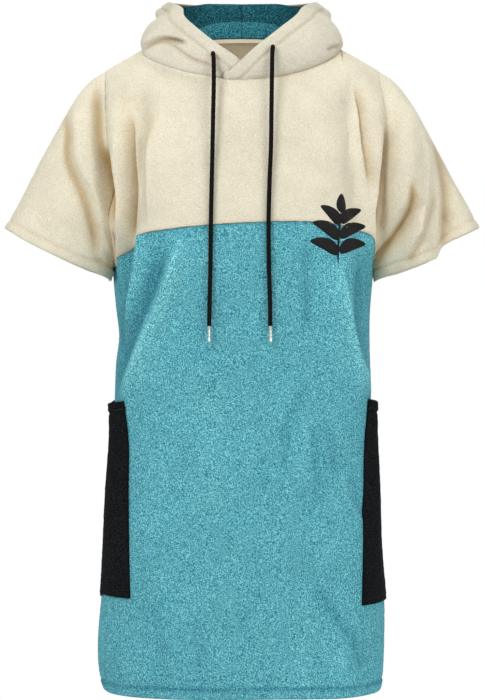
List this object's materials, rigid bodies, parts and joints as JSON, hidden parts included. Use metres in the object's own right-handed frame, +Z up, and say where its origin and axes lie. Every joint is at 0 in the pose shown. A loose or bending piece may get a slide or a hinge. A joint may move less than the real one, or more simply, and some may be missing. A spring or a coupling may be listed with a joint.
{
  "type": "hooded poncho",
  "caption": "Hooded towelling changing poncho with short wide sleeves, contrast lower body, wrapped side pockets, lined hood and free drawcord ends, as worn.",
  "frame": {"origin": "middle of the neck at the height of the high shoulder points, where the wearer's shoulders carry the garment", "axes": "+Z up, -Y out of the garment's front, +X towards the wearer's left side"},
  "size_m": [0.744, 0.335, 1.0986],
  "materials": {
    "cream_terry": "matte looped cotton terry, cream",
    "teal_terry": "matte looped cotton terry, mid teal",
    "black_terry": "matte looped cotton terry, black",
    "teal_lining": "matte looped cotton terry, deeper teal",
    "cream_tape": "flat woven cotton tape, cream",
    "black_cord": "round braided polyester cord, black",
    "silver_metal": "crimped plated metal, silver"
  },
  "bodies": {
    "root": {"front_yoke": "cream_terry", "back_yoke": "cream_terry", "sleeve_left": "cream_terry", "sleeve_right": "cream_terry", "front_body": "teal_terry", "back_body": "teal_terry", "pocket_left": "black_terry", "pocket_right": "black_terry", "hood_left": "cream_terry", "hood_right": "cream_terry", "hood_lining_left": "teal_lining", "hood_lining_right": "teal_lining", "neck_tape": "cream_tape", "drawcord_left": "black_cord", "drawcord_right": "black_cord", "cord_tip_left": "silver_metal", "cord_tip_right": "silver_metal"}
  },
  "joints": []
}
